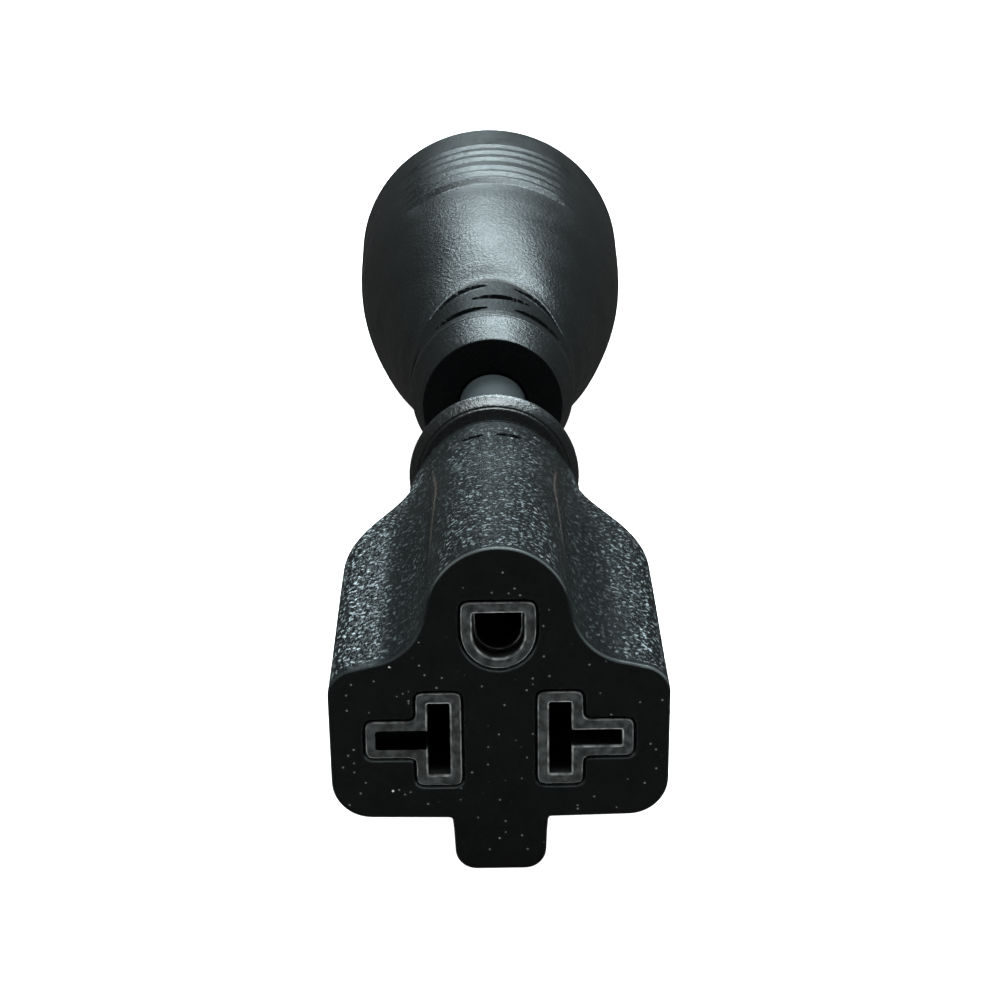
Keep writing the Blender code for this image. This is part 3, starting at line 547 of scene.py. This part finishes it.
def wire_halves(node):
    """A copy of one of the cable's inner pieces, cut across every 1.5 mm, in two halves that meet in the
    middle.
    """
    halves = []
    for name, keep_front in ((f"{node}_front", True), (f"{node}_back", False)):
        bm = bmesh.new()
        bm.from_mesh(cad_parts[node].data)
        for y in np.arange(76, 110, 1.5):
            geometry = bm.verts[:] + bm.edges[:] + bm.faces[:]
            bmesh.ops.bisect_plane(bm, geom=geometry, plane_co=(0, y * MM - MID, 0), plane_no=(0, 1, 0))
        geometry = bm.verts[:] + bm.edges[:] + bm.faces[:]
        result = bmesh.ops.bisect_plane(
            bm, geom=geometry, plane_co=(0, CABLE_MID - MID, 0), plane_no=(0, 1, 0),
            clear_outer=keep_front, clear_inner=not keep_front,
        )
        edges = [item for item in result["geom_cut"] if isinstance(item, bmesh.types.BMEdge)]
        bmesh.ops.holes_fill(bm, edges=edges)
        bmesh.ops.recalc_face_normals(bm, faces=bm.faces)
        data = bpy.data.meshes.new(name)
        bm.to_mesh(data)
        bm.free()
        obj = bpy.data.objects.new(name, data)
        bpy.context.scene.collection.objects.link(obj)
        halves.append(smooth(obj))
    return halves


def bend_with_cable(front, back, *nodes):
    """Bakes each half's transform into its mesh and hides the CAD pieces the halves stand in for; neither
    half is set to bend.
    """
    points = [(0, y - MID, AXIS_Z) for y in (CONNECTOR_END, CABLE_MID, PLUG_START)]
    for half, bodies, start, end in (
        (front, ("connector_end", "cable"), points[0], points[1]),
        (back, ("cable", "plug_end"), points[1], points[2]),
    ):
        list(bodies)
        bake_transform(half)
        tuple(start)
        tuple(end)
        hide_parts(*nodes)


# Materials ------------------------------------------------------------------------------------------


class Look:
    """A material built node by node; noise, ramp, math, mix, attribute and bump return an output socket."""

    def __init__(self, name):
        self.material = bpy.data.materials.new(name)
        self.material.use_nodes = True
        self.tree = self.material.node_tree
        self.shader = self.tree.nodes["Principled BSDF"]
        self.coordinates = self.new("TexCoord").outputs["Object"]

    def join(self, value, socket):
        if isinstance(value, bpy.types.NodeSocket):
            self.tree.links.new(value, socket)
        else:
            socket.default_value = value

    def new(self, kind):
        return self.tree.nodes.new(f"ShaderNode{kind}")

    def noise(self, scale, detail=2.0, roughness=0.5, stretch=None):
        node = self.new("TexNoise")
        node.inputs["Scale"].default_value = scale
        node.inputs["Detail"].default_value = detail
        node.inputs["Roughness"].default_value = roughness
        source = self.coordinates
        if stretch:
            mapping = self.new("Mapping")
            mapping.inputs["Scale"].default_value = stretch
            self.join(source, mapping.inputs["Vector"])
            source = mapping.outputs["Vector"]
        self.join(source, node.inputs["Vector"])
        return node.outputs["Fac"]

    def ramp(self, value, low, high, out_low=0.0, out_high=1.0):
        node = self.new("MapRange")
        node.interpolation_type = "SMOOTHSTEP"
        node.inputs["From Min"].default_value = low
        node.inputs["From Max"].default_value = high
        node.inputs["To Min"].default_value = out_low
        node.inputs["To Max"].default_value = out_high
        self.join(value, node.inputs["Value"])
        return node.outputs["Result"]

    def math(self, operation, first, second):
        node = self.new("Math")
        node.operation = operation
        self.join(first, node.inputs[0])
        self.join(second, node.inputs[1])
        return node.outputs["Value"]

    def mix(self, amount, first, second):
        node = self.new("Mix")
        node.data_type = "RGBA"
        self.join(amount, node.inputs["Factor"])
        self.join(first, node.inputs["A"])
        self.join(second, node.inputs["B"])
        return node.outputs["Result"]

    def attribute(self, name):
        node = self.new("Attribute")
        node.attribute_name = name
        return node.outputs["Fac"]

    def bump(self, height, distance, strength=1.0, under=None):
        node = self.new("Bump")
        node.inputs["Distance"].default_value = distance
        self.join(strength, node.inputs["Strength"])
        self.join(height, node.inputs["Height"])
        if under:
            self.join(under, node.inputs["Normal"])
        return node.outputs["Normal"]

    def finish(self, **sockets):
        for name, value in sockets.items():
            self.join(value, self.shader.inputs[name.replace("_", " ")])
        return self.material


def dust(look, scale, share, size):
    """Sparse pale specks: 1 inside a speck, 0 elsewhere."""
    node = look.new("TexVoronoi")
    node.inputs["Scale"].default_value = scale
    look.join(look.coordinates, node.inputs["Vector"])
    chosen = look.new("SeparateColor")
    look.join(node.outputs["Color"], chosen.inputs["Color"])
    near = look.ramp(node.outputs["Distance"], size * 0.6, size, 1.0, 0.0)
    return look.math("MULTIPLY", near, look.ramp(chosen.outputs["Red"], 1 - share, 1 - share + 0.01))


def body_look():
    """Moulded graining with painted glints, a painted highlight along the ridge's creases and a painted
    highlight on the face's upward rim.
    """
    look = Look("grained_pvc")
    tone = look.mix(look.noise(140, 3), (0.003, 0.0042, 0.0045, 1), (0.0062, 0.0078, 0.0082, 1))
    specks = dust(look, 430, 0.035, 0.09)
    # Painted highlight: a pale line along the ridge's creases, where the bend catches the light
    tone_and_painted_highlights = look.mix(look.attribute("crease"), tone, (0.07, 0.058, 0.05, 1))
    # Painted highlight: a pale rim along the face's edges, only where they face upward towards the light
    edge = look.math("MULTIPLY", look.attribute("rim"), look.ramp(look.noise(110, 2), 0.38, 0.62, 0.2, 1.0))
    tone_and_painted_highlights = look.mix(edge, tone_and_painted_highlights, (0.07, 0.08, 0.08, 1))
    grain_and_glint = look.attribute("grain_and_glint")
    # Painted highlight: pale glints tinted like the key light, where the mask is strong; the same mask also
    # sets the grain's bump
    glint = look.ramp(look.noise(2200, 1.5, 0.6, (1, 0.75, 1)), 0.54, 0.67)
    patchy = look.ramp(look.noise(800, 2), 0.35, 0.68, 0.2, 1.0)
    sparkle = look.math("MULTIPLY", look.math("MULTIPLY", glint, patchy), grain_and_glint)
    tone_and_painted_highlights = look.mix(sparkle, tone_and_painted_highlights, (0.5, 0.58, 0.6, 1))
    colour = look.mix(specks, tone_and_painted_highlights, (0.42, 0.44, 0.43, 1))
    fine = look.bump(look.noise(5200, 2), 0.00004, 0.35)
    strength = look.ramp(grain_and_glint, 0, 1, 0.04, 1.0)
    coarse = look.bump(look.noise(1500, 2.2, 0.65, (1, 0.5, 1)), 0.0005, strength, fine)
    rough = look.ramp(look.noise(900, 2), 0.3, 0.7, 0.26, 0.36)
    return look.finish(Base_Color=colour, Roughness=rough, Specular_IOR_Level=0.17, Normal=coarse)


def face_look():
    look = Look("matte_face")
    tone = look.mix(look.noise(320, 4), (0.0018, 0.0021, 0.0022, 1), (0.0036, 0.0041, 0.0042, 1))
    specks = dust(look, 620, 0.08, 0.11)
    fine_specks = dust(look, 1700, 0.16, 0.24)
    colour = look.mix(specks, look.mix(fine_specks, tone, (0.08, 0.085, 0.085, 1)), (0.4, 0.42, 0.42, 1))
    surface = look.bump(look.noise(3600, 2), 0.00006, 0.5)
    return look.finish(Base_Color=colour, Roughness=0.62, Specular_IOR_Level=0.12, Normal=surface)


def core_look():
    look = Look("core_plastic_moulded")
    mottle = look.ramp(look.noise(1300, 4, 0.6), 0.35, 0.68)
    tone = look.mix(mottle, (0.01, 0.011, 0.011, 1), (0.034, 0.037, 0.037, 1))
    specks = dust(look, 900, 0.05, 0.1)
    colour = look.mix(specks, tone, (0.3, 0.3, 0.29, 1))
    surface = look.bump(look.noise(3000, 2), 0.00005, 0.6)
    return look.finish(Base_Color=colour, Roughness=0.5, Specular_IOR_Level=0.35, Normal=surface)


# Painted highlight: a lighter copy of the core plastic, for the rounded edges of the bosses and holes and the
# ground hole's ledge, where light from above catches them
def core_edge_highlight_look():
    look = Look("core_plastic_painted_edge_highlight")
    mottle = look.ramp(look.noise(1100, 3), 0.35, 0.65)
    tone = look.mix(mottle, (0.045, 0.048, 0.047, 1), (0.17, 0.177, 0.172, 1))
    surface = look.bump(look.noise(3000, 2), 0.00005, 0.6)
    return look.finish(Base_Color=tone, Roughness=0.45, Specular_IOR_Level=0.4, Normal=surface)


def plug_look(name, level, shade=1.0):
    """Satin PVC with a leathery ripple; level is its specular level and shade darkens its colour."""
    look = Look(name)
    dark, light = (np.array(tone) * shade for tone in ((0.003, 0.0039, 0.0042), (0.005, 0.0062, 0.0065)))
    tone = look.mix(look.noise(60, 3), (*dark, 1), (*light, 1))
    specks = dust(look, 300, 0.02, 0.05)
    colour = look.mix(specks, tone, (0.25, 0.27, 0.27, 1))
    ripple = look.bump(look.noise(420, 3, 0.55), 0.0002, 0.25)
    fine = look.bump(look.noise(1900, 2.5, 0.6), 0.00018, 0.7, ripple)
    rough = look.ramp(look.noise(180, 2), 0.3, 0.7, 0.33, 0.4)
    return look.finish(Base_Color=colour, Roughness=rough, Specular_IOR_Level=level, Normal=fine)


def jacket_look():
    look = Look("satin_jacket")
    tone = look.mix(look.noise(200, 3), (0.02, 0.026, 0.028, 1), (0.032, 0.039, 0.041, 1))
    drawn = look.bump(look.noise(700, 3, 0.5, (1, 0.12, 1)), 0.00008, 0.5)
    rough = look.ramp(look.noise(300, 2), 0.3, 0.7, 0.6, 0.7)
    return look.finish(Base_Color=tone, Roughness=rough, Specular_IOR_Level=0.2, Normal=drawn)


def plain_look(name, dark, light, rough, scale=400, bump=0.3):
    look = Look(name)
    tone = look.mix(look.noise(scale, 3), (*dark, 1), (*light, 1))
    surface = look.bump(look.noise(scale * 6, 2), 0.00004, bump)
    spread = look.ramp(look.noise(scale * 1.5, 2), 0.3, 0.7, rough * 0.8, rough * 1.2)
    return look.finish(Base_Color=tone, Roughness=spread, Normal=surface)


def brushed_look(name, dark, light, rough):
    """Metal with fine lines along the object."""
    look = Look(name)
    tone = look.mix(look.noise(260, 3, 0.6, (1, 0.06, 1)), (*dark, 1), (*light, 1))
    lines = look.bump(look.noise(2400, 2, 0.6, (1, 0.03, 1)), 0.00002, 0.5)
    spread = look.ramp(look.noise(700, 3, 0.5, (1, 0.06, 1)), 0.3, 0.7, rough * 0.9, rough * 1.1)
    return look.finish(Base_Color=tone, Roughness=spread, Metallic=1.0, Normal=lines)


BODY = body_look()
FACE = face_look()
CORE = core_look()
CORE_EDGE_HIGHLIGHT = core_edge_highlight_look()
# Painted shade: a darker copy of the core plastic for the walls inside its holes and chambers
CORE_SHADED_INSIDE = plain_look("core_plastic_painted_shade_inside", (0.004, 0.0042, 0.0042), (0.009, 0.0095, 0.0094), 0.55)
PLUG = plug_look("satin_pvc", 0.5)
RELIEF = plug_look("dull_pvc", 0.18)
# Painted shade: the plug's end round the cable, a darker copy of the plug's PVC
PLUG_END = plug_look("shaded_pvc", 0.06, 0.35)
COLLAR = plug_look("collar_pvc", 1.0)
JACKET = jacket_look()
MOULD = plain_look("inner_mould", (0.04, 0.04, 0.042), (0.06, 0.06, 0.062), 0.6)
BLACK_WIRE = plain_look("wire_black", (0.008, 0.008, 0.008), (0.014, 0.014, 0.014), 0.35)
WHITE_WIRE = plain_look("wire_white", (0.68, 0.67, 0.62), (0.78, 0.77, 0.73), 0.35)
GREEN_WIRE = plain_look("wire_green", (0.012, 0.22, 0.045), (0.025, 0.32, 0.07), 0.35)
PAPER = plain_look("filler_paper", (0.5, 0.44, 0.34), (0.68, 0.62, 0.5), 0.85, 900, bump=0.8)
COPPER = brushed_look("copper_strands", (0.7, 0.3, 0.16), (0.86, 0.44, 0.26), 0.32)
BRASS = brushed_look("brass_blades", (0.72, 0.52, 0.22), (0.86, 0.68, 0.36), 0.26)
SPRING = brushed_look("contact_springs", (0.10, 0.092, 0.08), (0.2, 0.185, 0.16), 0.45)


def paint(obj, *looks):
    obj.data.materials.clear()
    for look in looks:
        obj.data.materials.append(look)


# Assembly -------------------------------------------------------------------------------------------

# Material borders of the face and the core, as depths behind the face
FACE_Y = -MID + 0.02 * MM
FACE_DEPTH = 1.6 * MM
EDGE_DEPTH = 0.4 * MM
LEDGE_DEPTH = 2.05 * MM
CORE_DEPTH = 0.3 * MM
# Material borders of the plug in mm: its end round the cable, and the strain relief
PLUG_END_Y = 107.2
RELIEF_START = 116.2
RELIEF_R = 8.0
# How strong the grain and its painted glints are, against 1 on the left wing; the right wing's lower value
# paints it as less lit
RIDGE_GRAIN_AND_GLINT = 0.5
NECK_GRAIN_AND_GLINT_LOSS = 0.2
RIGHT_WING_GRAIN_AND_GLINT = 0.58
HOLLOW_GRAIN_AND_GLINT = 0.12


def surface_masks(obj):
    """Graining strength and painted glints, strongest on the left wing and on upward faces; painted
    highlights along the ridge's creases; and a painted highlight on the face's upward rim.
    """
    co = np.array([v.co for v in obj.data.vertices])
    along = co[:, 1] + MID
    angle = np.degrees(np.arctan2(co[:, 2] - AXIS_Z, co[:, 0]))
    upper = np.abs(angle - 90)
    up = np.array([v.normal.z for v in obj.data.vertices])
    shift = ease((along - TAPER_START) / (TAPER_END - TAPER_START))
    crease = CREASE_AT + (CREASE_AT_NECK - CREASE_AT) * shift
    ridge = ease((crease - 4 - upper) / 14)
    ridge *= RIDGE_GRAIN_AND_GLINT - NECK_GRAIN_AND_GLINT_LOSS * ease((along - 52 * MM) / (8 * MM))
    # Painted light: the left wing gets stronger grain and painted glints than the right, so it looks more
    # brightly lit
    wing = hump(upper, 74 - 2 * shift, 15) * np.where(co[:, 0] < 0, 1.0, RIGHT_WING_GRAIN_AND_GLINT)
    # Grain and painted glints only on faces turned upward, towards the light
    facing = ease((up + 0.1) / 0.6)
    ends = ease((along - 0.6 * MM) / (1.2 * MM)) * ease((67.6 * MM - along) / (2.5 * MM))
    grain_and_glint = np.maximum(np.maximum(ridge, wing), HOLLOW_GRAIN_AND_GLINT) * facing * ends
    # Painted highlight along the ridge's creases, between 8 and 58 mm from the face
    line_ends = ease((along - 8 * MM) / (14 * MM)) * ease((58 * MM - along) / (8 * MM))
    line = hump(upper, crease, 1.5) * line_ends
    # Painted highlight on the face's rim, only on edges turned upward
    rim = hump(along, 0.22 * MM, 0.3 * MM) * ease((up - 0.15) / 0.4)
    return grain_and_glint, line, rim


overmold = build_connector_overmold()
paint(overmold, BODY, FACE, COLLAR)
for polygon in overmold.data.polygons:
    if polygon.center.y < FACE_Y + FACE_DEPTH and polygon.normal.y < -0.9:
        polygon.material_index = 1
    elif polygon.center.y > NECK_END - MID + 0.1 * MM:
        polygon.material_index = 2
for attribute, values in zip(("grain_and_glint", "crease", "rim"), surface_masks(overmold)):
    point_attribute(overmold, attribute, values)
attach(overmold, "connector_end")
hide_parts("connector_overmold")

core = build_core()
paint(core, CORE, CORE_EDGE_HIGHLIGHT, CORE_SHADED_INSIDE)
# Rounded edges near the face and the ground hole's ledge get the painted highlight; faces deeper in get
# painted shade
for polygon in core.data.polygons:
    depth = polygon.center.y - FACE_Y
    slanted = 0.06 < abs(polygon.normal.y) < 0.93
    if slanted and (depth < EDGE_DEPTH or abs(depth - LEDGE_DEPTH) < 0.08 * MM):
        polygon.material_index = 1
    elif depth > CORE_DEPTH:
        polygon.material_index = 2
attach(core, "connector_end")
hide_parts("connector_core")

plug = build_plug_overmold()
paint(plug, PLUG, RELIEF, PLUG_END)
for polygon in plug.data.polygons:
    x, y, z = polygon.center / MM + Vector((0, MID / MM, -AXIS_Z / MM))
    out = math.hypot(x, z)
    # The plug's end round the cable gets the painted shade
    if y < PLUG_END_Y:
        polygon.material_index = 2
    elif out > RELIEF_R and RELIEF_START < y < JOINT_TOP - JOINT_SWEEP * (x / out) ** 2:
        polygon.material_index = 1
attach(plug, "plug_end")
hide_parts("plug_overmold")

jacket = (
    jacket_half("cable_jacket_front", 54.6 * MM, CABLE_MID),
    jacket_half("cable_jacket_back", CABLE_MID, 130.0 * MM),
)
for half in jacket:
    paint(half, JACKET)
bend_with_cable(*jacket, "cable_jacket")

INNER = {
    "insulation_black": (BLACK_WIRE, "wire_black"),
    "insulation_white": (WHITE_WIRE, "wire_white"),
    "insulation_green": (GREEN_WIRE, "wire_green"),
    "conductor_hot": (COPPER, "copper"),
    "conductor_neutral": (COPPER, "copper"),
    "conductor_ground": (COPPER, "copper"),
    "cable_filler_1": (PAPER, "filler"),
    "cable_filler_2": (PAPER, "filler"),
    "cable_filler_3": (PAPER, "filler"),
}
for node, (look, slot) in INNER.items():
    halves = wire_halves(node)
    for half in halves:
        paint(half, look)
    bend_with_cable(*halves, node)

CARRIED = {
    "connector_core_cover": CORE, "contact_hot": SPRING, "contact_neutral": SPRING, "contact_ground": SPRING,
    "connector_inner_mould": MOULD, "plug_face_insert": CORE, "plug_inner_mould": MOULD,
    "blade_hot": BRASS, "blade_neutral": BRASS, "ground_pin": BRASS,
}
for node, look in CARRIED.items():
    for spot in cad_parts[node].material_slots:
        spot.material = look


# Stage ----------------------------------------------------------------------------------------------

# The floor touches the plug's rim and the connector's tongue, so it leans a little towards the plug
REST_BACK = Vector((0, 202.0 * MM - MID, 0.0))
REST_FRONT = Vector((0, -MID, 5.5 * MM))
WORLD_LEVEL = 0.45
REFLECTED_WORLD_LEVEL = 0.06


def build_floor():
    """A wide pale floor, kept out of reflections."""
    slope = math.atan2(REST_FRONT.z - REST_BACK.z, REST_BACK.y - REST_FRONT.y)
    bm = bmesh.new()
    bmesh.ops.create_grid(bm, x_segments=4, y_segments=4, size=4.0)
    data = bpy.data.meshes.new("floor")
    bm.to_mesh(data)
    bm.free()
    floor = bpy.data.objects.new("floor", data)
    bpy.context.scene.collection.objects.link(floor)
    lift = Matrix.Translation(REST_BACK - Vector((0, 0, 0.05 * MM)))
    floor.matrix_world = lift @ Matrix.Rotation(-slope, 4, "X")
    look = Look("pale_floor")
    tone = look.mix(look.noise(3, 2), (0.56, 0.56, 0.555, 1), (0.6, 0.6, 0.595, 1))
    paint(floor, look.finish(Base_Color=tone, Roughness=0.9, Specular_IOR_Level=0.1))
    floor.visible_glossy = False
    return floor


def area_light(name, place, target, size, power, colour, shape="RECTANGLE", turn=0.0):
    data = bpy.data.lights.new(name, "AREA")
    data.shape = shape
    data.size, data.size_y = size
    data.energy = power
    data.color = colour
    light = bpy.data.objects.new(name, data)
    bpy.context.scene.collection.objects.link(light)
    way = Vector(target) - Vector(place)
    aim = way.to_track_quat("-Z", "Y").to_matrix().to_4x4() @ Matrix.Rotation(math.radians(turn), 4, "Z")
    light.matrix_world = Matrix.Translation(place) @ aim
    return light


def build_world():
    """Even pale light, dimmer where it is seen in reflections."""
    world = bpy.data.worlds.new("studio")
    bpy.context.scene.world = world
    world.use_nodes = True
    nodes = world.node_tree.nodes
    links = world.node_tree.links
    background = nodes["Background"]
    background.inputs["Color"].default_value = (1, 1, 1, 1)
    path = nodes.new("ShaderNodeLightPath")
    level = nodes.new("ShaderNodeMapRange")
    level.inputs["To Min"].default_value = WORLD_LEVEL
    level.inputs["To Max"].default_value = REFLECTED_WORLD_LEVEL
    links.new(path.outputs["Is Glossy Ray"], level.inputs["Value"])
    links.new(level.outputs["Result"], background.inputs["Strength"])


def build_camera():
    """Looks down at the connector's face, with a slight turn and roll."""
    pitch, yaw, roll = (math.radians(v) for v in (19.739, 0.317, -0.668))
    forward = Vector((math.sin(yaw) * math.cos(pitch), math.cos(yaw) * math.cos(pitch), -math.sin(pitch)))
    level = Vector((math.cos(yaw), -math.sin(yaw), 0))
    upright = level.cross(forward)
    right = level * math.cos(roll) + upright * math.sin(roll)
    up = -level * math.sin(roll) + upright * math.cos(roll)
    data = bpy.data.cameras.new("camera")
    data.lens = 81
    data.sensor_width = 36
    data.clip_start = 0.01
    camera = bpy.data.objects.new("camera", data)
    bpy.context.scene.collection.objects.link(camera)
    place = Vector((-0.00085, -0.32592, 0.12411))
    turn = Matrix((right, up, -forward)).transposed().to_4x4()
    camera.matrix_world = Matrix.Translation(place) @ turn
    bpy.context.scene.camera = camera


floor = build_floor()
build_world()
build_camera()
area_light("key", (0.15, 0.62, 0.82), (0, 0.03, 0.03), (1.15, 0.25), 13.6, (0.78, 0.95, 1.0), "ELLIPSE", -22)
area_light("top", (0.0, -0.10, 0.8), (0, -0.05, 0.02), (0.5, 0.4), 8.0, (0.88, 0.98, 1.0))
fill = area_light("floor_fill", (0.0, 0.1, 1.5), (0, 0.1, 0), (2.0, 2.0), 85.0, (1.0, 1.0, 1.0))
only_floor = bpy.data.collections.new("only_floor")
only_floor.objects.link(floor)
fill.light_linking.receiver_collection = only_floor
fill.light_linking.blocker_collection = only_floor
bpy.context.scene.view_settings.view_transform = "Standard"
